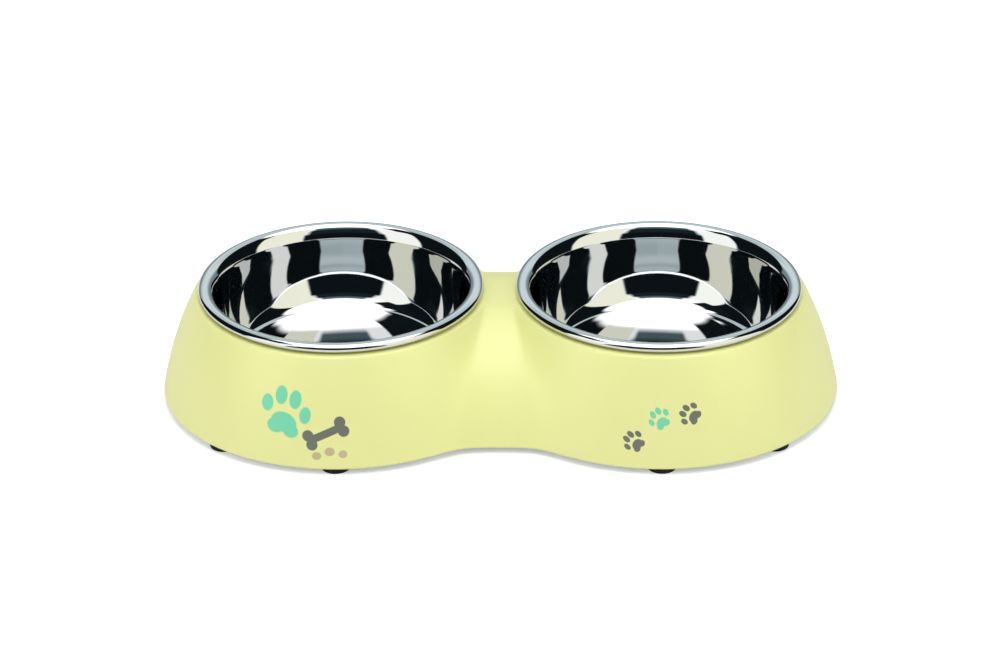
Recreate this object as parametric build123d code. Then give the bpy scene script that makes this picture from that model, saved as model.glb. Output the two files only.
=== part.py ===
from build123d import *
import math
import os

# A double pet bowl: two pressed steel bowls that lie loose in a moulded, hollow melamine shell on rubber feet.
# Millimetres. +X runs along the two bowls, -Y is the front, +Z is up.
# The origin is on the floor, midway between the bowls.

# Shell
lobe_base_radius = 88.5       # each lobe at its bottom edge
lobe_top_radius = 71.3        # each lobe at the land that carries the bowl's rim
lobes_apart = 12.4            # between the two lobes, at the land
shell_height = 51.4           # bottom edge to land
side_bulge_radius = 172.0     # the side wall's outward curve, seen in section
waist_draw_in = 21.3          # the waist lies this far inside the lobes' front and back, at the bottom edge
neck_crown_drop = 1.2         # the saddle's crown lies this much below the land
neck_flat_drop = 0.6          # the saddle is flat this much below its crown
neck_arch_sink = 10.0         # the saddle's arch is centred this much below the bottom edge
shell_wall = 3.0
land_edge_round = 1.2

# Bowls
rim_land_margin = 1.8         # from the land's outer edge in to the rim
rim_bead_width = 6.6
rim_bead_height = 4.4
flare_width = 5.6             # from the bead's crest inwards to the wall
flare_drop = 6.9              # from the bead's crest down to the fold above the wall
flare_turn = 50.0             # degrees that the flare's tight roll turns down, before its long curve
flare_end = 80.0              # degrees that it has turned down where it meets the wall
wall_straight_run = 5.5       # straight part of the wall, under the flare
wall_top_lean = 8.0           # degrees from upright, of the straight part
wall_foot_lean = 27.0         # degrees from upright, where the wall's curve meets the corner
bowl_depth = 39.0             # bead's crest to the floor inside
bowl_corner_radius = 11.0     # between wall and floor, inside
bowl_sheet = 0.7
curl_opening = 70.0           # degrees left open under the bead, beside the wall
rim_seat_gap = 0.3            # between the land and the bead at rest
well_clearance = 3.3          # between the bowl's wall and the well

# Feet
foot_height = 3.0             # how far the shell stands off the floor
foot_head_radius = 7.0
foot_edge_round = 0.5
foot_stem_radius = 2.8
foot_stem_length = 8.0
foot_edge_inset = 1.5         # from the shell's bottom edge in to the foot
foot_angles = {"front": 0.0, "front_outer": 43.0, "back_outer": 137.0, "back": 180.0}
socket_clearance = 0.1        # round the stem
socket_spare_depth = 1.0      # above the stem
boss_wall = 4.0               # round the socket
boss_roof = 5.0               # above the socket

section_count = 10
upright = (Align.CENTER, Align.CENTER, Align.MIN)

half_pitch = lobe_top_radius + lobes_apart / 2
waist_half_width = lobe_base_radius - waist_draw_in
edge_z = foot_height
land_z = edge_z + shell_height
rim_outer_radius = lobe_top_radius - rim_land_margin
rim_bead_radius = rim_outer_radius - rim_bead_width / 2
rim_bead_z = land_z + rim_seat_gap + rim_bead_height / 2
socket_radius = foot_stem_radius + socket_clearance
foot_circle_radius = lobe_base_radius - foot_edge_inset - foot_head_radius
bowl_wall_radius = rim_bead_radius - flare_width
well_radius = bowl_wall_radius + bowl_sheet + well_clearance


def side_arc_centre():
    """Centre of the side wall's section arc, as radius and height above the bottom edge."""
    lean = lobe_top_radius - lobe_base_radius
    chord = math.hypot(lean, shell_height)
    reach = math.sqrt(side_bulge_radius**2 - (chord / 2) ** 2)
    radius = (lobe_base_radius + lobe_top_radius) / 2 - reach * shell_height / chord
    height = shell_height / 2 + reach * lean / chord
    return radius, height


def lobe_radius(level, inset):
    """Radius of a lobe at a level above the bottom edge, drawn in by inset."""
    centre_radius, centre_height = side_arc_centre()
    return centre_radius + math.sqrt((side_bulge_radius - inset) ** 2 - (level - centre_height) ** 2)


def neck_arch(inset):
    """Half height and half width of the saddle's elliptical arch, measured from its sunk centre."""
    rise = shell_height - neck_crown_drop + neck_arch_sink
    reach = waist_half_width / math.sqrt(1 - (neck_arch_sink / rise) ** 2)
    return rise - inset, reach - inset


def neck_half_width(level, inset):
    rise, reach = neck_arch(inset)
    return reach * math.sqrt(1 - ((level + neck_arch_sink) / rise) ** 2)


def body_section(level, inset):
    """Level cut through the body: two lobes joined by hollow arcs that touch them without a corner."""
    lobe = lobe_radius(level, inset)
    neck = neck_half_width(level, inset)
    hollow = (neck**2 - lobe**2 + half_pitch**2) / (2 * (lobe - neck))
    share = lobe / (lobe + hollow)
    touch_x = half_pitch * (1 - share)
    touch_y = (neck + hollow) * share
    outline = [
        ThreePointArc((touch_x, -touch_y), (half_pitch + lobe, 0), (touch_x, touch_y)),
        ThreePointArc((touch_x, touch_y), (0, neck), (-touch_x, touch_y)),
        ThreePointArc((-touch_x, touch_y), (-half_pitch - lobe, 0), (-touch_x, -touch_y)),
        ThreePointArc((-touch_x, -touch_y), (0, -neck), (touch_x, -touch_y)),
    ]
    return Pos(0, 0, edge_z + level) * make_face(outline)


def body(inset):
    """The smooth two-lobed body up to the saddle's flat, with levels closer together where the arch rolls over."""
    rise, _ = neck_arch(inset)
    top = shell_height - neck_crown_drop - neck_flat_drop - inset
    first = math.asin(neck_arch_sink / rise)
    last = math.asin((top + neck_arch_sink) / rise)
    angles = [first + (last - first) * i / (section_count - 1) for i in range(section_count)]
    levels = [rise * math.sin(angle) - neck_arch_sink for angle in angles]
    return loft([body_section(level, inset) for level in levels])


def rim_collar(side):
    """The lobe's top, from the saddle's flat up to the land that carries the bowl's rim."""
    low = shell_height - neck_crown_drop - neck_flat_drop
    middle = (low + shell_height) / 2
    low_point = (lobe_radius(low, 0), edge_z + low)
    middle_point = (lobe_radius(middle, 0), edge_z + middle)
    top_point = (lobe_top_radius, land_z)
    outline = [
        Line((0, low_point[1]), low_point),
        ThreePointArc(low_point, middle_point, top_point),
        Line(top_point, (0, land_z)),
        Line((0, land_z), (0, low_point[1])),
    ]
    collar = revolve(Plane.XZ * make_face(outline), Axis.Z)
    land_edge = collar.edges().group_by(Axis.Z)[-1]
    return Pos(side * half_pitch, 0, 0) * fillet(land_edge, land_edge_round)


def foot_places():
    """Name and middle of each foot; a foot's angle runs from the front round to the outside of its lobe."""
    places = {}
    for side_name, side in (("left", -1), ("right", 1)):
        for place_name, degrees in foot_angles.items():
            angle = math.radians(degrees)
            x = side * (half_pitch + foot_circle_radius * math.sin(angle))
            y = -foot_circle_radius * math.cos(angle)
            places[f"foot_{side_name}_{place_name}"] = (x, y)
    return places


def base_shell():
    outside = body(0)
    for side in (-1, 1):
        outside += rim_collar(side)
    shell = outside - body(shell_wall)
    socket_depth = foot_stem_length + socket_spare_depth
    boss = Cylinder(socket_radius + boss_wall, socket_depth + boss_roof, align=upright)
    socket = Cylinder(socket_radius, socket_depth, align=upright)
    for x, y in foot_places().values():
        shell += Pos(x, y, edge_z) * boss & outside
    for x, y in foot_places().values():
        shell -= Pos(x, y, edge_z) * socket
    for side in (-1, 1):
        shell -= Pos(side * half_pitch, 0, land_z) * Cylinder(well_radius, shell_height)
    return shell


def pressed_bowl(side):
    """A bowl of even sheet: floor, round corner, curved wall, flare and a rim curled outwards and under."""
    crest_z = rim_bead_z + rim_bead_height / 2
    floor_z = crest_z - bowl_depth
    wall_z = crest_z - flare_drop
    half_width = rim_bead_width / 2
    half_height = rim_bead_height / 2
    top_lean = math.radians(wall_top_lean)
    foot_lean = math.radians(wall_foot_lean)
    turn = math.radians(flare_turn)
    end = math.radians(flare_end)

    curve_top_radius = bowl_wall_radius - wall_straight_run * math.sin(top_lean)
    curve_top_z = wall_z - wall_straight_run * math.cos(top_lean)
    corner_z = floor_z + bowl_corner_radius
    curve_foot_z = corner_z - bowl_corner_radius * math.sin(foot_lean)
    curve_reach = (curve_top_z - curve_foot_z) / (math.sin(foot_lean) - math.sin(top_lean))
    curve_centre = (curve_top_radius - curve_reach * math.cos(top_lean), curve_top_z + curve_reach * math.sin(top_lean))
    corner_radius = curve_centre[0] + (curve_reach - bowl_corner_radius) * math.cos(foot_lean)
    corner_centre = (corner_radius, corner_z)
    roll_across, roll_down = math.sin(turn), 1 - math.cos(turn)
    sweep_across, sweep_down = math.sin(end) - math.sin(turn), math.cos(turn) - math.cos(end)
    share = roll_across * sweep_down - roll_down * sweep_across
    roll_reach = (flare_width * sweep_down - flare_drop * sweep_across) / share
    sweep_reach = (flare_drop * roll_across - flare_width * roll_down) / share
    roll_centre = (rim_bead_radius, crest_z - roll_reach)
    sweep_centre = (bowl_wall_radius + sweep_reach * math.sin(end), wall_z - sweep_reach * math.cos(end))

    def leaning_point(centre, reach, lean):
        angle = math.radians(lean)
        return centre[0] + reach * math.cos(angle), centre[1] - reach * math.sin(angle)

    def leaning_arc(centre, reach, first, last):
        """Part of a section curve, between two leans from upright."""
        leans = (first, (first + last) / 2, last)
        return ThreePointArc(*[leaning_point(centre, reach, lean) for lean in leans])

    def flare(sheet):
        """The tight roll from the crest and the long curve down to the fold, on one face of the sheet."""
        roll = CenterArc(roll_centre, roll_reach - sheet, 90, flare_turn)
        return roll, CenterArc(sweep_centre, sweep_reach - sheet, 90 + flare_turn, flare_end - flare_turn)

    def curl(width, height):
        centre = (rim_bead_radius, rim_bead_z)
        return EllipticalCenterArc(centre, width, height, -180 + curl_opening, arc_size=270 - curl_opening)

    inside_corner = leaning_arc(corner_centre, bowl_corner_radius, 90, wall_foot_lean)
    inside_wall = leaning_arc(curve_centre, curve_reach, wall_foot_lean, wall_top_lean)
    inside_roll, inside_sweep = flare(0)
    outside_curl = curl(half_width, half_height)
    inside_curl = curl(half_width - bowl_sheet, half_height - bowl_sheet)
    outside_roll, outside_sweep = flare(bowl_sheet)
    outside_wall = leaning_arc(curve_centre, curve_reach + bowl_sheet, wall_top_lean, wall_foot_lean)
    outside_corner = leaning_arc(corner_centre, bowl_corner_radius + bowl_sheet, wall_foot_lean, 90)
    outline = [
        Line((0, floor_z), inside_corner @ 0),
        inside_corner,
        inside_wall,
        Line(inside_wall @ 1, inside_sweep @ 1),
        inside_sweep,
        inside_roll,
        outside_curl,
        Line(outside_curl @ 0, inside_curl @ 0),
        inside_curl,
        outside_roll,
        outside_sweep,
        Line(outside_sweep @ 1, outside_wall @ 0),
        outside_wall,
        outside_corner,
        Line(outside_corner @ 1, (0, floor_z - bowl_sheet)),
        Line((0, floor_z - bowl_sheet), (0, floor_z)),
    ]
    return Pos(side * half_pitch, 0, 0) * revolve(Plane.XZ * make_face(outline), Axis.Z)


def rubber_foot(x, y):
    """A push-in foot: a round-edged head under the shell and a stem in the boss's socket."""
    head = Cylinder(foot_head_radius, foot_height, align=upright)
    head = fillet(head.edges().group_by(Axis.Z)[0], foot_edge_round)
    stem = Cylinder(foot_stem_radius, foot_stem_length, align=upright)
    return Pos(x, y, 0) * (head + Pos(0, 0, foot_height) * stem)


nodes = {
    "base_shell": base_shell(),
    "bowl_left": pressed_bowl(-1),
    "bowl_right": pressed_bowl(1),
}
for foot_name, (foot_x, foot_y) in foot_places().items():
    nodes[foot_name] = rubber_foot(foot_x, foot_y)

os.makedirs("parts", exist_ok=True)
for node_name, node in nodes.items():
    export_step(node, f"parts/{node_name}.step")
    print(node_name, len(node.solids()), round(node.volume))
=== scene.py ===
import math

import bmesh
import bpy
import numpy as np
from mathutils import Matrix, Vector


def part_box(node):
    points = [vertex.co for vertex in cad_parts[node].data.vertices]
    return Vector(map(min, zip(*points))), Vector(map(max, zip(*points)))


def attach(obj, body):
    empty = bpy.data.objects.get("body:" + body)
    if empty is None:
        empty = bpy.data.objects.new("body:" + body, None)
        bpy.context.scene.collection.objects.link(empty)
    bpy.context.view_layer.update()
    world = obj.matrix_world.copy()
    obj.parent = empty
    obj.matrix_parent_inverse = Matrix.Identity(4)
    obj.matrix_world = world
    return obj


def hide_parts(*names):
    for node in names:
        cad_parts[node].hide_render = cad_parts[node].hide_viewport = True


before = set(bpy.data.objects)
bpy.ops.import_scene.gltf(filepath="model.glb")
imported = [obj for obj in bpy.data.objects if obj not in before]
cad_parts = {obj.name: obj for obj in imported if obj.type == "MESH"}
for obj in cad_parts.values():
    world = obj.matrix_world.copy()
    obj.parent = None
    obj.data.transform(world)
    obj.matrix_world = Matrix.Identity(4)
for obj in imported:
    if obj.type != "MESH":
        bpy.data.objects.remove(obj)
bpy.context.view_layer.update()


# The shell: one hollow moulding of glossy pale yellow melamine, two round domes joined by a low neck.
# It is pressed in a mould in one piece and open underneath, and each dome has a well with a land for a bowl.
# Its wall thickens into a boss for each foot, just inside the bottom edge.
shell_low, shell_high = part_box("base_shell")
edge_z = shell_low.z
land_z = shell_high.z
shell_height = land_z - edge_z
lobe_base_radius = shell_high.y
half_pitch = shell_high.x - lobe_base_radius
lobe_top_radius = 0.0713
side_bulge_radius = 0.172
neck_sink = 0.010
neck_rise = 0.0625
neck_reach = 0.0683
neck_half_length = 0.055
neck_fade = 3.0
neck_blend_low = 0.0030
neck_blend_top = 0.0010
neck_blend_shares = np.array([0.6, 0.9])
land_blend = 0.0005
shell_wall = 0.003
bottom_round = 0.0010
bottom_round_top = 0.00117
well_radius = 0.0646
well_round = 0.0008
boss_radius = 0.0069
boss_height = 0.014
boss_recess = 0.0003
boss_cover = 0.001
boss_steps = 40
socket_radius = 0.0029
socket_depth = 0.009
neck_columns = 81
side_columns = 261
low_rows = 44
high_rows = 54
inside_rows = 20
round_steps = 4

side_lean = lobe_top_radius - lobe_base_radius
side_chord = math.hypot(side_lean, shell_height)
side_reach = math.sqrt(side_bulge_radius**2 - (side_chord / 2) ** 2)
side_centre_radius = (lobe_base_radius + lobe_top_radius) / 2 - side_reach * shell_height / side_chord
side_centre_level = shell_height / 2 + side_reach * side_lean / side_chord


def smooth_highest(blend, *fields):
    """The highest of several fields at each point, rounded off where two of them meet."""
    top = np.maximum.reduce(fields)
    return top + blend * np.log(sum(np.exp((field - top) / blend) for field in fields))


def depth_in_body(points, inset):
    """How deep points lie under the body's skin drawn in by inset, and less than zero outside it."""
    x, y = points[..., 0], points[..., 1]
    level = points[..., 2] - edge_z
    side_radius = side_centre_radius + np.sqrt(side_bulge_radius**2 - (level - side_centre_level) ** 2)
    left_lobe = side_radius - np.hypot(x + half_pitch, y)
    right_lobe = side_radius - np.hypot(x - half_pitch, y)
    arch_level = level + neck_sink
    arch_distance = np.hypot(y, arch_level)
    neck = arch_distance / np.hypot(y / neck_reach, arch_level / neck_rise) - arch_distance
    neck -= neck_fade * np.maximum(np.abs(x) - neck_half_length, 0)
    blend = np.interp(level, shell_height * neck_blend_shares, [neck_blend_low, neck_blend_top])
    body = smooth_highest(blend, left_lobe, right_lobe, neck)
    return -smooth_highest(land_blend, inset - body, inset + level - shell_height)


def skin_points(origin, direction, inset):
    """Where rays from inside the body come out of its skin."""
    longest_ray = 0.080
    halvings = 36
    near = np.zeros(direction.shape[:-1])
    far = np.full(direction.shape[:-1], longest_ray)
    for _ in range(halvings):
        middle = (near + far) / 2
        inside = depth_in_body(origin + direction * middle[..., None], inset) > 0
        near = np.where(inside, middle, near)
        far = np.where(inside, far, middle)
    return origin + direction * near[..., None]


def skin_normals(points, inset):
    small = 1e-6
    slopes = []
    for axis in np.eye(3) * small:
        slopes.append(depth_in_body(points - axis, inset) - depth_in_body(points + axis, inset))
    normals = np.stack(slopes, axis=-1)
    return normals / np.linalg.norm(normals, axis=-1, keepdims=True)


def lobe_skin(inset, top_radius, fractions):
    """Rows of points on the right half's skin, from the bottom edge or the neck's middle up to its land."""
    ray_radius = 0.050
    start_z = edge_z + bottom_round_top
    waist = -skin_points(np.array([0, 0, start_z]), np.array([[0.0, -1.0, 0.0]]), inset)[0, 1]
    corner = math.atan2(waist, half_pitch)
    neck_turns = np.linspace(-corner, corner, neck_columns)
    side_turns = np.linspace(corner, 2 * math.pi - corner, side_columns)[1:-1]
    turns = np.concatenate([neck_turns, side_turns])
    outwards = np.stack([-np.cos(turns), -np.sin(turns), 0 * turns], axis=-1)

    start = np.zeros(len(turns))
    neck_y = -half_pitch * np.tan(neck_turns)
    middle_line = np.stack([0 * neck_y, neck_y, 0 * neck_y + start_z], axis=-1)
    upwards = np.broadcast_to([0.0, 0.0, 1.0], middle_line.shape)
    crests = skin_points(middle_line, upwards, inset)
    crest_radius = half_pitch / np.cos(neck_turns)
    start[:neck_columns] = np.arctan2(crests[:, 2] - start_z, crest_radius - ray_radius)

    top = math.atan2(land_z - inset - start_z, top_radius - ray_radius)
    rise = start + (top - start) * fractions[:, None]
    origin = np.array([half_pitch, 0, start_z]) + outwards * ray_radius
    direction = np.cos(rise)[..., None] * outwards + np.sin(rise)[..., None] * np.array([0, 0, 1.0])
    points = skin_points(origin, direction, inset)
    points[0, :neck_columns, 0] = 0
    return turns, points


def shell_half():
    """The right half as grids of points: skin, well and hollow in one, and the bottom edge in another."""
    crowded_from = 0.8
    low_fractions = np.linspace(0, crowded_from, low_rows, endpoint=False)
    fractions = np.concatenate([low_fractions, np.linspace(crowded_from, 1, high_rows)])
    turns, outside = lobe_skin(0, well_radius + well_round, fractions)
    _, inside = lobe_skin(shell_wall, well_radius, np.linspace(0, 1, inside_rows))

    lip = []
    for angle in np.linspace(0, math.pi / 2, round_steps + 1)[1:]:
        radius = well_radius + well_round * (1 - math.sin(angle))
        z = land_z - well_round * (1 - math.cos(angle))
        across, back = half_pitch - radius * np.cos(turns), -radius * np.sin(turns)
        lip.append(np.stack([across, back, 0 * turns + z], axis=-1))
    skin = np.concatenate([outside, np.array(lip), inside[::-1]])

    sides = np.r_[neck_columns - 1:len(turns), 0]
    ring_rows = []
    for edge_points, inset in ((outside[0, sides], 0), (inside[0, sides], shell_wall)):
        normals = skin_normals(edge_points, inset) * (1 if inset == 0 else -1)
        normals[[0, -1], 0] = 0
        middles = edge_points - bottom_round * normals
        downwards = np.array([0, 0, -1.0]) + normals[:, 2:] * normals
        downwards /= np.linalg.norm(downwards, axis=-1, keepdims=True)
        rounded = []
        for share in np.linspace(0, 1, round_steps + 1):
            angle = share * np.arccos(-normals[:, 2:])
            rounded.append(middles + bottom_round * (np.cos(angle) * normals + np.sin(angle) * downwards))
        ring_rows.append(np.maximum(rounded, [-np.inf, -np.inf, edge_z]))
    edge_ring = np.concatenate([ring_rows[0], ring_rows[1][::-1]])
    return skin, edge_ring


def grid_faces(first, rows, columns, closed):
    """Four-sided faces between the rows of a grid of points."""
    faces = []
    for row in range(rows - 1):
        for column in range(columns if closed else columns - 1):
            after = (column + 1) % columns
            low, high = first + row * columns, first + (row + 1) * columns
            faces.append((low + column, low + after, high + after, high + column))
    return faces


merge_distance = 1e-6
crease_angle = math.radians(40)


def closed_mesh(name, points, faces):
    """A mesh with its doubles merged, its faces pointing outwards and its round stretches shaded smooth."""
    mesh = bpy.data.meshes.new(name)
    mesh.from_pydata([tuple(point) for point in points], [], faces)
    work = bmesh.new()
    work.from_mesh(mesh)
    bmesh.ops.remove_doubles(work, verts=work.verts, dist=merge_distance)
    bmesh.ops.recalc_face_normals(work, faces=work.faces)
    work.to_mesh(mesh)
    work.free()
    mesh.shade_smooth()
    mesh.set_sharp_from_angle(angle=crease_angle)
    return mesh


def linked(name, mesh):
    piece = bpy.data.objects.new(name, mesh)
    bpy.context.scene.collection.objects.link(piece)
    return piece


skin, edge_ring = shell_half()
shell_points = []
shell_faces = []
for side in (1, -1):
    for grid, closed in ((skin, True), (edge_ring, False)):
        shell_faces += grid_faces(len(shell_points), grid.shape[0], grid.shape[1], closed)
        shell_points += list(grid.reshape(-1, 3) * [side, 1, 1])
shell = linked("melamine_shell", closed_mesh("melamine_shell", shell_points, shell_faces))


def add_node(tree, kind, settings=None, **inputs):
    """A node with its settings, and its inputs set or linked by name, with underscores for spaces."""
    node = tree.nodes.new(kind)
    for key, value in (settings or {}).items():
        setattr(node, key, value)
    for key, value in inputs.items():
        socket = node.inputs[int(key[1:]) if key[0] == "i" and key[1:].isdigit() else key.replace("_", " ")]
        if isinstance(value, bpy.types.NodeSocket):
            tree.links.new(value, socket)
        else:
            socket.default_value = value
    return node


def scalar_math(tree, operation, first, second=0.0):
    return add_node(tree, "ShaderNodeMath", {"operation": operation}, i0=first, i1=second).outputs[0]


def integer_math(tree, operation, first, second):
    return add_node(tree, "FunctionNodeIntegerMath", {"operation": operation}, i0=first, i1=second).outputs[0]


def vector_math(tree, operation, first, second=(0, 0, 0)):
    return add_node(tree, "ShaderNodeVectorMath", {"operation": operation}, i0=first, i1=second).outputs[0]


def vector_length(tree, given):
    return add_node(tree, "ShaderNodeVectorMath", {"operation": "LENGTH"}, i0=given).outputs["Value"]


def mixed_colour(tree, share, first, second):
    return add_node(tree, "ShaderNodeMix", {"data_type": "RGBA"}, i0=share, i6=first, i7=second).outputs[2]


def revolve_tree():
    """A node tree that turns an outline, its radius along X and height along Z, round an upright axis."""
    tree = bpy.data.node_groups.new("revolved_outline", "GeometryNodeTree")
    tree.is_modifier = True
    sockets = (("Outline", "Geometry"), ("Axis", "Vector"), ("Steps Round", "Int"), ("Finish", "Material"))
    for name, kind in sockets:
        tree.interface.new_socket(name, in_out="INPUT", socket_type=f"NodeSocket{kind}")
    tree.interface.new_socket("Piece", in_out="OUTPUT", socket_type="NodeSocketGeometry")
    given = tree.nodes.new("NodeGroupInput").outputs
    columns = integer_math(tree, "ADD", given["Steps Round"], 1)
    size = add_node(tree, "GeometryNodeAttributeDomainSize", {"component": "MESH"}, Geometry=given["Outline"])
    rows = size.outputs["Point Count"]
    grid = add_node(tree, "GeometryNodeMeshGrid", Vertices_X=rows, Vertices_Y=columns).outputs["Mesh"]
    index = tree.nodes.new("GeometryNodeInputIndex").outputs[0]
    row = integer_math(tree, "DIVIDE_FLOOR", index, columns)
    column = integer_math(tree, "MODULO", index, columns)
    place = tree.nodes.new("GeometryNodeInputPosition").outputs[0]
    sampled = add_node(tree, "GeometryNodeSampleIndex", {"data_type": "FLOAT_VECTOR", "domain": "POINT"},
                       Geometry=given["Outline"], Value=place, Index=row).outputs[0]
    step = scalar_math(tree, "DIVIDE", math.tau, given["Steps Round"])
    turned = add_node(tree, "ShaderNodeVectorRotate", {"rotation_type": "Z_AXIS"}, Vector=sampled,
                      Angle=scalar_math(tree, "MULTIPLY", column, step)).outputs[0]
    moved = vector_math(tree, "ADD", turned, given["Axis"])
    shaped = add_node(tree, "GeometryNodeSetPosition", Geometry=grid, Position=moved).outputs[0]
    merged = add_node(tree, "GeometryNodeMergeByDistance", Geometry=shaped, Distance=merge_distance)
    real = add_node(tree, "GeometryNodeRealizeInstances", Geometry=merged.outputs[0]).outputs[0]
    finished = add_node(tree, "GeometryNodeSetMaterial", Geometry=real, Material=given["Finish"]).outputs[0]
    add_node(tree, "NodeGroupOutput", Piece=finished)
    return tree


revolve = revolve_tree()


def revolved(name, outline, axis, steps, finish):
    """A piece made by turning an outline of radius and height round an axis."""
    drawn = bpy.data.meshes.new(name)
    drawn.from_pydata([(radius, 0, z) for radius, z in outline], [], [])
    piece = linked(name, drawn)
    turning = piece.modifiers.new("revolve", "NODES")
    turning.node_group = revolve
    values = {"Axis": axis, "Steps Round": steps, "Finish": finish}
    for socket in revolve.interface.items_tree:
        if socket.name in values:
            turning[socket.identifier] = values[socket.name]
    depsgraph = bpy.context.evaluated_depsgraph_get()
    made = bpy.data.meshes.new_from_object(piece.evaluated_get(depsgraph))
    piece.modifiers.remove(turning)
    work = bmesh.new()
    work.from_mesh(made)
    bmesh.ops.recalc_face_normals(work, faces=work.faces)
    work.to_mesh(made)
    work.free()
    made.shade_smooth()
    made.set_sharp_from_angle(angle=crease_angle)
    piece.data = made
    bpy.data.meshes.remove(drawn)
    return piece


def boss_shape(foot_box):
    """One foot's boss with its blind socket, drawn in wherever it would come through the wall."""
    low, high = foot_box
    middle = (low + high) / 2
    bottom, top = edge_z + boss_recess, edge_z + boss_height
    outline = [(socket_radius, bottom), (boss_radius, bottom), (boss_radius, top), (0, top),
               (0, edge_z + socket_depth), (socket_radius, edge_z + socket_depth), (socket_radius, bottom)]
    boss = revolved("boss", outline, (middle.x, middle.y, 0), boss_steps, None)
    inwards = Vector((math.copysign(half_pitch, middle.x) - middle.x, -middle.y, 0)).normalized()
    for vertex in boss.data.vertices:
        depth = depth_in_body(np.array(vertex.co), 0)
        vertex.co += inwards * max(0, boss_cover - depth)
    return boss


foot_names = sorted(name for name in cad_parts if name.startswith("foot_"))
for foot_name in foot_names:
    boss = boss_shape(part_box(foot_name))
    joining = shell.modifiers.new("join", "BOOLEAN")
    joining.operation = "UNION"
    joining.solver = "MANIFOLD"
    joining.object = boss
    joined = bpy.data.meshes.new_from_object(shell.evaluated_get(bpy.context.evaluated_depsgraph_get()))
    shell.modifiers.remove(joining)
    spent_meshes = (shell.data, boss.data)
    shell.data = joined
    bpy.data.objects.remove(boss)
    for spent in spent_meshes:
        bpy.data.meshes.remove(spent)


def new_material(name):
    """A material with an empty node tree but for its Principled shader and output."""
    material = bpy.data.materials.new(name)
    material.use_nodes = True
    return material, material.node_tree, material.node_tree.nodes["Principled BSDF"]


def noise(tree, place, scale, detail):
    return add_node(tree, "ShaderNodeTexNoise", Vector=place, Scale=scale, Detail=detail).outputs[0]


def set_roughness(tree, shader, pattern, smoothest, dullest):
    roughness = add_node(tree, "ShaderNodeMapRange", Value=pattern, To_Min=smoothest, To_Max=dullest)
    tree.links.new(roughness.outputs[0], shader.inputs["Roughness"])


def set_bump(tree, shader, pattern, strength, depth):
    bump = add_node(tree, "ShaderNodeBump", Height=pattern, Strength=strength, Distance=depth)
    tree.links.new(bump.outputs[0], shader.inputs["Normal"])


def print_socket_tree(name):
    """A node group for a print, still without its shape, and the place moved, turned and sized for it."""
    tree = bpy.data.node_groups.new(name, "ShaderNodeTree")
    sockets = (("Place", "Vector"), ("Middle", "Vector"), ("Turn", "Float"), ("Size", "Float"))
    for socket_name, kind in sockets:
        tree.interface.new_socket(socket_name, in_out="INPUT", socket_type=f"NodeSocket{kind}")
    tree.interface.new_socket("Print", in_out="OUTPUT", socket_type="NodeSocketFloat")
    given = tree.nodes.new("NodeGroupInput").outputs
    moved = vector_math(tree, "SUBTRACT", given["Place"], given["Middle"])
    turned = add_node(tree, "ShaderNodeVectorRotate", {"rotation_type": "Y_AXIS"}, Vector=moved,
                      Angle=given["Turn"]).outputs[0]
    shrink = scalar_math(tree, "DIVIDE", 1.0, given["Size"])
    sized = add_node(tree, "ShaderNodeVectorMath", {"operation": "SCALE"}, i0=turned, Scale=shrink).outputs[0]
    return tree, sized


def inked(tree, distance):
    """1 inside a printed shape and 0 outside it, from a distance that is 1 at the shape's edge."""
    edge_softness = 0.05
    return add_node(tree, "ShaderNodeMapRange", Value=distance, From_Min=1 + edge_softness,
                    From_Max=1 - edge_softness).outputs[0]


def printed_oval(tree, place, across, up, half_width, half_height):
    moved = vector_math(tree, "SUBTRACT", place, (across, 0, up))
    shaped = vector_math(tree, "MULTIPLY", moved, (1 / half_width, 0, 1 / half_height))
    return inked(tree, vector_length(tree, shaped))


def highest_of(tree, values):
    top = values[0]
    for value in values[1:]:
        top = scalar_math(tree, "MAXIMUM", top, value)
    return top


def paw_print_tree():
    """A paw print one unit tall: a three-lobed pad under four toes."""
    tree, place = print_socket_tree("paw_print")
    # each oval: its middle across and up, half its width and half its height
    ovals = [(0, -0.20, 0.26, 0.20), (-0.16, -0.32, 0.16, 0.14), (0.16, -0.32, 0.16, 0.14)]
    for side in (-1, 1):
        ovals += [(side * 0.39, 0.06, 0.115, 0.165), (side * 0.145, 0.30, 0.12, 0.18)]
    shapes = [printed_oval(tree, place, *oval) for oval in ovals]
    add_node(tree, "NodeGroupOutput", Print=highest_of(tree, shapes))
    return tree


def bone_tree():
    """A bone one unit long: a bar with two knobs at each end."""
    tree, place = print_socket_tree("bone")
    bar_half_length, bar_half_height = 0.40, 0.085
    knob_across, knob_up, knob_radius = 0.385, 0.105, 0.125
    size = (1 / bar_half_length, 0, 1 / bar_half_height)
    shaped = vector_math(tree, "MULTIPLY", vector_math(tree, "ABSOLUTE", place), size)
    split = add_node(tree, "ShaderNodeSeparateXYZ", Vector=shaped).outputs
    shapes = [inked(tree, highest_of(tree, [split["X"], split["Z"]]))]
    for end in (-knob_across, knob_across):
        for side in (-knob_up, knob_up):
            shapes.append(printed_oval(tree, place, end, side, knob_radius, knob_radius))
    add_node(tree, "NodeGroupOutput", Print=highest_of(tree, shapes))
    return tree


def kibble_tree():
    """Three dry crumbs of food in a loose row, one unit long."""
    tree, place = print_socket_tree("kibble")
    ovals = [(-0.36, -0.03, 0.13, 0.11), (0.02, 0.06, 0.14, 0.12), (0.38, -0.05, 0.12, 0.11)]
    shapes = [printed_oval(tree, place, *oval) for oval in ovals]
    add_node(tree, "NodeGroupOutput", Print=highest_of(tree, shapes))
    return tree


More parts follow.
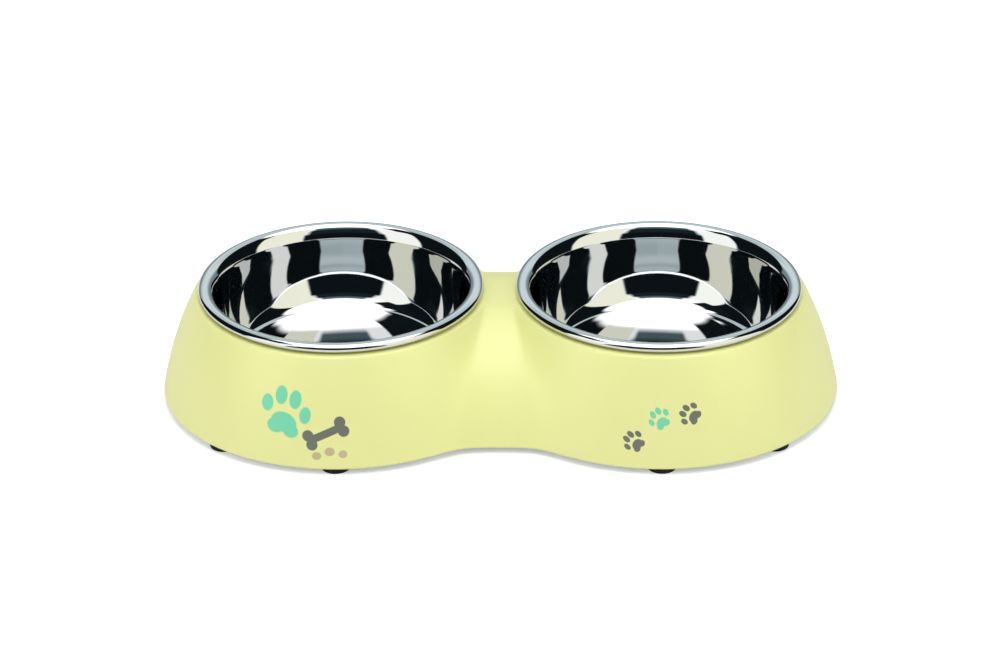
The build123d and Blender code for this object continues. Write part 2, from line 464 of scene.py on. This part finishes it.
def melamine_material():
    """Glossy melamine with a slow drift of colour, a faint moulded ripple and prints under its glaze."""
    pale_yellow = (0.745, 0.768, 0.290, 1)
    warm_yellow = (0.775, 0.785, 0.330, 1)
    melamine_index = 1.65
    smoothest, dullest = 0.34, 0.42
    ripple_strength, ripple_depth = 0.25, 0.00002
    material, tree, shader = new_material("printed_yellow_melamine")
    shader.inputs["IOR"].default_value = melamine_index
    coordinates = tree.nodes.new("ShaderNodeTexCoord").outputs
    place = coordinates["Object"]
    drift = noise(tree, place, scale=16.0, detail=2.0)
    colour = mixed_colour(tree, drift, pale_yellow, warm_yellow)

    depth = add_node(tree, "ShaderNodeSeparateXYZ", Vector=place).outputs["Y"]
    facing = add_node(tree, "ShaderNodeSeparateXYZ", Vector=coordinates["Normal"]).outputs["Y"]
    at_front = scalar_math(tree, "LESS_THAN", scalar_math(tree, "MAXIMUM", depth, facing), 0.0)
    paw, bone, kibble = paw_print_tree(), bone_tree(), kibble_tree()
    teal, brown, tan = (0.165, 0.640, 0.390, 1), (0.140, 0.150, 0.118, 1), (0.520, 0.430, 0.230, 1)
    prints = (
        # shape, ink, middle across and up, turn in degrees, size
        (paw, teal, (-0.1005, 0.0290), -12, 0.0235),
        (bone, brown, (-0.0815, 0.0205), 24, 0.0215),
        (kibble, tan, (-0.0800, 0.0110), 6, 0.0170),
        (paw, brown, (0.0640, 0.0165), 52, 0.0105),
        (paw, teal, (0.0760, 0.0275), 36, 0.0105),
        (paw, brown, (0.0905, 0.0290), 58, 0.0105),
    )
    for shape, ink, (across, up), turn, size in prints:
        cover = add_node(tree, "ShaderNodeGroup", {"node_tree": shape}, Place=place, Middle=(across, 0, up),
                         Turn=math.radians(turn), Size=size).outputs[0]
        colour = mixed_colour(tree, scalar_math(tree, "MULTIPLY", cover, at_front), colour, ink)
    tree.links.new(colour, shader.inputs["Base Color"])

    haze = noise(tree, place, scale=60.0, detail=3.0)
    set_roughness(tree, shader, haze, smoothest, dullest)
    ripple = noise(tree, place, scale=220.0, detail=1.0)
    set_bump(tree, shader, ripple, ripple_strength, ripple_depth)
    return material


shell.data.materials.clear()
shell.data.materials.append(melamine_material())
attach(shell, "base")
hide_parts("base_shell")


# The feet: eight small round studs of soft black rubber that keep the shell from sliding.
# Each is moulded in one piece with a stem that is pushed into its boss.
def arc(centre, width, height, start, end, steps):
    """Points along part of an ellipse, with its angles in degrees from the outward direction."""
    points = []
    for angle in np.radians(np.linspace(start, end, steps + 1)):
        points.append((centre[0] + width * math.cos(angle), centre[1] + height * math.sin(angle)))
    return points


def rubber_material():
    """Soft black rubber, dull, with a fine grain and a little grey bloom."""
    black = (0.004, 0.004, 0.005, 1)
    bloom = (0.011, 0.011, 0.012, 1)
    dull_glint = 0.2
    smoothest, dullest = 0.5, 0.7
    grain_strength, grain_depth = 0.4, 0.00005
    material, tree, shader = new_material("soft_black_rubber")
    shader.inputs["Specular IOR Level"].default_value = dull_glint
    place = tree.nodes.new("ShaderNodeTexCoord").outputs["Object"]
    cloud = noise(tree, place, scale=300.0, detail=4.0)
    colour = mixed_colour(tree, cloud, black, bloom)
    tree.links.new(colour, shader.inputs["Base Color"])
    set_roughness(tree, shader, cloud, smoothest, dullest)
    grain = noise(tree, place, scale=2500.0, detail=2.0)
    set_bump(tree, shader, grain, grain_strength, grain_depth)
    return material


foot_edge_round = 0.0005
foot_stem_radius = 0.0028
foot_steps = 64
tread_radii = (0.0011, 0.0024)
tread_half_width = 0.0003
tread_section = ((-1, 0), (-0.5, 1), (0.5, 1), (1, 0))
tread_depth = 0.0004
rubber = rubber_material()
for foot_name in foot_names:
    low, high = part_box(foot_name)
    middle = (low + high) / 2
    head_radius = (high.x - low.x) / 2
    flat_radius = head_radius - foot_edge_round
    outline = [(0, low.z)]
    for tread_radius in tread_radii:
        for across, rise in tread_section:
            outline.append((tread_radius + across * tread_half_width, low.z + rise * tread_depth))
    outline += arc((flat_radius, low.z + foot_edge_round), foot_edge_round, foot_edge_round, -90, 0, steps=6)
    outline += [(head_radius, edge_z), (foot_stem_radius, edge_z), (foot_stem_radius, high.z), (0, high.z)]
    foot = revolved(f"rubber_{foot_name}", outline, (middle.x, middle.y, 0), foot_steps, rubber)
    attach(foot, "base")
    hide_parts(foot_name)


# The bowls: two dishes of thin stainless steel, mirror polished, that hang loose by their rims in the wells.
# Each is deep drawn from a flat sheet, and its rim is curled outwards and under into a hollow bead.
rim_bead_width = 0.0066
rim_bead_height = 0.0044
flare_width = 0.0056
flare_drop = 0.0069
flare_turn = 50
flare_end = 80
wall_straight_run = 0.0055
wall_top_lean = 8
wall_foot_lean = 27
corner_radius = 0.011
sheet = 0.0007
curl_opening = 70
bowl_steps = 360
fold_edge = 0.0002
floor_ring_shares = (0.4, 0.8, 0.985)
under_ring_share = 0.5


def bowl_outline(rim_radius, crest_z, floor_z):
    """The sheet's section, up its inside from the floor's middle, round the curled rim and back under it."""
    half_width, half_height = rim_bead_width / 2, rim_bead_height / 2
    bead = (rim_radius - half_width, crest_z - half_height)
    top_lean, foot_lean = math.radians(wall_top_lean), math.radians(wall_foot_lean)
    turn, end = math.radians(flare_turn), math.radians(flare_end)
    wall_radius, wall_z = bead[0] - flare_width, crest_z - flare_drop
    curve_top_radius = wall_radius - wall_straight_run * math.sin(top_lean)
    curve_top_z = wall_z - wall_straight_run * math.cos(top_lean)
    corner_z = floor_z + corner_radius
    curve_drop = curve_top_z - corner_z + corner_radius * math.sin(foot_lean)
    reach = curve_drop / (math.sin(foot_lean) - math.sin(top_lean))
    curve = (curve_top_radius - reach * math.cos(top_lean), curve_top_z + reach * math.sin(top_lean))
    corner = (curve[0] + (reach - corner_radius) * math.cos(foot_lean), corner_z)
    across = (math.sin(turn), math.sin(end) - math.sin(turn))
    down = (1 - math.cos(turn), math.cos(turn) - math.cos(end))
    roll_reach, sweep_reach = np.linalg.solve([across, down], [flare_width, flare_drop])
    roll = (bead[0], crest_z - roll_reach)
    sweep = (wall_radius + sweep_reach * math.sin(end), wall_z - sweep_reach * math.cos(end))
    under_corner, under_wall, under_roll, under_sweep = (
        corner_radius + sheet, reach + sheet, roll_reach - sheet, sweep_reach - sheet)
    turned, ended = 90 + flare_turn, 90 + flare_end
    curl_end = -180 + curl_opening

    points = [(0, floor_z)] + [(corner[0] * share, floor_z) for share in floor_ring_shares]
    points += arc(corner, corner_radius, corner_radius, -90, -wall_foot_lean, steps=30)
    points += arc(curve, reach, reach, -wall_foot_lean, -wall_top_lean, steps=24)[1:]
    points += [(wall_radius - fold_edge * math.sin(top_lean), wall_z - fold_edge * math.cos(top_lean))]
    points += arc(sweep, sweep_reach, sweep_reach, ended, turned, steps=16)
    points += arc(roll, roll_reach, roll_reach, turned, 90, steps=20)[1:]
    points += arc(bead, half_width, half_height, 90, curl_end, steps=40)[1:]
    points += arc(bead, half_width - sheet, half_height - sheet, curl_end, 90, steps=20)
    points += arc(roll, under_roll, under_roll, 90, turned, steps=10)[1:]
    points += arc(sweep, under_sweep, under_sweep, turned, ended, steps=8)[1:]
    points += arc(curve, under_wall, under_wall, -wall_top_lean, -wall_foot_lean, steps=12)
    points += arc(corner, under_corner, under_corner, -wall_foot_lean, -90, steps=14)[1:]
    points += [(corner[0] * under_ring_share, floor_z - sheet), (0, floor_z - sheet)]
    return points


def steel_material():
    """Mirror polished steel with faint upright drawing marks on its wall and turned rings on its floor."""
    bright = (0.715, 0.720, 0.725, 1)
    dull = (0.690, 0.695, 0.705, 1)
    wall_from, wall_to = 0.042, 0.050
    marks_fineness = (34.0, 120.0, 1.0)
    smoothest, dullest = 0.012, 0.040
    marks_strength, marks_depth = 0.08, 0.00002
    material, tree, shader = new_material("mirror_polished_steel")
    shader.inputs["Metallic"].default_value = 1
    place = tree.nodes.new("ShaderNodeTexCoord").outputs["Object"]
    split = add_node(tree, "ShaderNodeSeparateXYZ", Vector=place).outputs
    across = scalar_math(tree, "SUBTRACT", scalar_math(tree, "ABSOLUTE", split["X"]), half_pitch)
    ring = vector_length(tree, add_node(tree, "ShaderNodeCombineXYZ", X=across, Y=split["Y"]).outputs[0])
    turn = scalar_math(tree, "ARCTAN2", split["Y"], across)

    cloud = noise(tree, place, scale=90.0, detail=3.0)
    colour = mixed_colour(tree, cloud, bright, dull)
    tree.links.new(colour, shader.inputs["Base Color"])
    set_roughness(tree, shader, cloud, smoothest, dullest)

    marks_place = add_node(tree, "ShaderNodeCombineXYZ", X=turn, Y=split["Z"]).outputs[0]
    marks_place = vector_math(tree, "MULTIPLY", marks_place, marks_fineness)
    marks = noise(tree, marks_place, scale=1.0, detail=2.0)
    rings_place = add_node(tree, "ShaderNodeCombineXYZ", X=ring).outputs[0]
    rings = noise(tree, rings_place, scale=900.0, detail=2.0)
    on_wall = add_node(tree, "ShaderNodeMapRange", Value=ring, From_Min=wall_from, From_Max=wall_to)
    height = add_node(tree, "ShaderNodeMix", i0=on_wall.outputs[0], i2=rings, i3=marks).outputs[0]
    set_bump(tree, shader, height, marks_strength, marks_depth)
    return material


steel = steel_material()
for bowl_name in ("bowl_left", "bowl_right"):
    low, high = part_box(bowl_name)
    outline = bowl_outline((high.x - low.x) / 2, high.z, low.z + sheet)
    bowl = revolved(f"steel_{bowl_name}", outline, ((low.x + high.x) / 2, 0, 0), bowl_steps, steel)
    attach(bowl, bowl_name)
    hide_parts(bowl_name)


# The stage: a plain white floor, soft studio light and the camera where the photograph was taken.
# A dome that only reflections see holds the studio's softboxes and the dark between them.
floor_half = 4.0
floor_white = (0.85, 0.85, 0.86, 1)
floor_lift_colour = (0.92, 0.95, 1.0, 1)
floor_lift = 0.38
floor_mesh = bpy.data.meshes.new("floor")
corners = [(-floor_half, -floor_half, 0), (floor_half, -floor_half, 0), (floor_half, floor_half, 0),
           (-floor_half, floor_half, 0)]
floor_mesh.from_pydata(corners, [], [(0, 1, 2, 3)])
floor = linked("floor", floor_mesh)
floor_material, floor_tree, floor_shader = new_material("white_floor")
floor_shader.inputs["Base Color"].default_value = floor_white
floor_shader.inputs["Roughness"].default_value = 1.0
floor_shader.inputs["Specular IOR Level"].default_value = 0.0
floor_path = floor_tree.nodes.new("ShaderNodeLightPath").outputs
floor_seen = scalar_math(floor_tree, "MAXIMUM", floor_path["Is Camera Ray"],
                         floor_path["Is Transmission Ray"])
floor_glow = scalar_math(floor_tree, "MULTIPLY", floor_seen, floor_lift)
floor_tree.links.new(floor_glow, floor_shader.inputs["Emission Strength"])
floor_shader.inputs["Emission Color"].default_value = floor_lift_colour
floor_mesh.materials.append(floor_material)

dome_radius = 3.0
dome_turns = np.arange(-180, 181)
dome_rises = np.arange(-4, 91)
dome_base_glow = (1.40, 1.40, 1.40)
dome_zones = (
    # turn from the front to the right, rise above the floor, softness of the edge, in degrees, and glow
    ("overhead_softbox", (-190, 190), (62, 99), 3, (2.30, 2.30, 2.27)),
    ("back_wall_left", (-190, -138), (-5, 61), 3, (0.58, 0.70, 0.72)),
    ("back_wall_right", (140, 190), (-5, 61), 3, (0.62, 0.75, 0.76)),
    ("back_wall_foot", (-190, 190), (-16, 19), 14, (0.22, 0.29, 0.32)),
    ("back_wall_band", (-190, 190), (23, 35), 8, (0.78, 0.90, 0.92)),
    ("front_screen", (-33, 28), (28, 59), 5, (0.10, 0.17, 0.18)),
    ("front_screen_low", (-38, 32), (26, 49), 6, (0.012, 0.020, 0.024)),
    ("left_gap", (-138, -75), (-5, 61), 2.5, (0.005, 0.008, 0.010)),
    ("left_gap_top", (-122, -62), (48, 68), 3, (0.008, 0.012, 0.015)),
    ("right_gap", (83, 140), (-5, 60), 2.5, (0.005, 0.008, 0.010)),
    ("left_softbox", (-75, -41), (-5, 48), 2.5, (1.27, 1.29, 1.21)),
    ("right_softbox", (35, 83), (-5, 62), 2.5, (1.16, 1.16, 0.95)),
    ("camera_gap", (-41, 35), (-5, 30), 2.5, (0.005, 0.008, 0.010)),
)


def soft_step(value, edge, softness):
    return np.clip((value - edge) / softness + 0.5, 0, 1)


def dome_mesh():
    """The inside of a dome, with each point's glow taken from the zones that it lies in."""
    turns, rises = np.meshgrid(dome_turns, dome_rises, indexing="ij")
    glow = np.ones(turns.shape + (1,)) * np.array(dome_base_glow)
    for _, turn_range, rise_range, softness, brightness in dome_zones:
        share = soft_step(turns, turn_range[0], softness) * soft_step(-turns, -turn_range[1], softness)
        share *= soft_step(rises, rise_range[0], softness) * soft_step(-rises, -rise_range[1], softness)
        glow += share[..., None] * (np.array(brightness) - glow)
    turn, rise = np.radians(turns), np.radians(rises)
    across, back = np.cos(rise) * np.sin(turn), -np.cos(rise) * np.cos(turn)
    points = np.stack([across, back, np.sin(rise)], axis=-1) * dome_radius
    mesh = bpy.data.meshes.new("studio_dome")
    faces = grid_faces(0, turns.shape[0], turns.shape[1], False)
    mesh.from_pydata(points.reshape(-1, 3).tolist(), [], faces)
    colours = np.concatenate([glow, np.ones(turns.shape + (1,))], axis=-1)
    mesh.attributes.new("glow", "FLOAT_COLOR", "POINT").data.foreach_set("color", colours.ravel())
    return mesh


dome = linked("studio_dome", dome_mesh())
dome_material, dome_tree, dome_shader = new_material("studio_dome")
dome_light = add_node(dome_tree, "ShaderNodeAttribute", {"attribute_name": "glow"}).outputs["Color"]
dome_tree.nodes.remove(dome_shader)
dome_glow = add_node(dome_tree, "ShaderNodeEmission", Color=dome_light).outputs[0]
dome_tree.links.new(dome_glow, dome_tree.nodes["Material Output"].inputs["Surface"])
dome.data.materials.append(dome_material)
dome.visible_camera = False
dome.visible_diffuse = False
dome.visible_transmission = False
dome.visible_shadow = False

world_diffuse_light = 0.46
world_seen_light = 1.0
world = bpy.data.worlds.new("studio")
bpy.context.scene.world = world
world.use_nodes = True
world_background = world.node_tree.nodes["Background"]
world_path = world.node_tree.nodes.new("ShaderNodeLightPath").outputs
world_seen = scalar_math(world.node_tree, "ADD", world_path["Is Camera Ray"], world_path["Is Glossy Ray"])
world_seen = add_node(world.node_tree, "ShaderNodeMath", {"operation": "ADD", "use_clamp": True},
                      i0=world_seen, i1=world_path["Is Transmission Ray"]).outputs[0]
world_level = add_node(world.node_tree, "ShaderNodeMapRange", Value=world_seen, To_Min=world_diffuse_light,
                       To_Max=world_seen_light).outputs[0]
world_background.inputs["Color"].default_value = (1, 1, 1, 1)
world.node_tree.links.new(world_level, world_background.inputs["Strength"])

lamps = (
    # name, place, width of its square and power in watts
    ("left_lamp", (-1.5, -0.9, 0.9), 1.0, 9),
    ("right_lamp", (1.5, -0.9, 0.9), 1.0, 9),
    ("top_lamp", (0, -0.3, 1.9), 1.6, 20.5),
)
for lamp_name, lamp_place, lamp_size, lamp_power in lamps:
    lamp_data = bpy.data.lights.new(lamp_name, "AREA")
    lamp_data.shape = "SQUARE"
    lamp_data.size = lamp_size
    lamp_data.energy = lamp_power
    lamp = bpy.data.objects.new(lamp_name, lamp_data)
    bpy.context.scene.collection.objects.link(lamp)
    aim = (-Vector(lamp_place)).to_track_quat("-Z", "Y")
    lamp.matrix_world = Matrix.Translation(lamp_place) @ aim.to_matrix().to_4x4()
    lamp.visible_glossy = False

camera_place = (0.02368, -1.64203, 0.87707)
camera_yaw = 0.01445
camera_pitch = 0.47612
camera_roll = -0.00767
camera_sensor_width = 36
camera_lens = 135.55
camera_data = bpy.data.cameras.new("camera")
camera_data.sensor_width = camera_sensor_width
camera_data.lens = camera_lens
camera = bpy.data.objects.new("camera", camera_data)
bpy.context.scene.collection.objects.link(camera)
turn = Matrix.Rotation(camera_yaw, 4, "Z") @ Matrix.Rotation(math.pi / 2 - camera_pitch, 4, "X")
camera.matrix_world = Matrix.Translation(camera_place) @ turn @ Matrix.Rotation(camera_roll, 4, "Z")
bpy.context.scene.camera = camera
bpy.context.scene.view_settings.view_transform = "Standard"
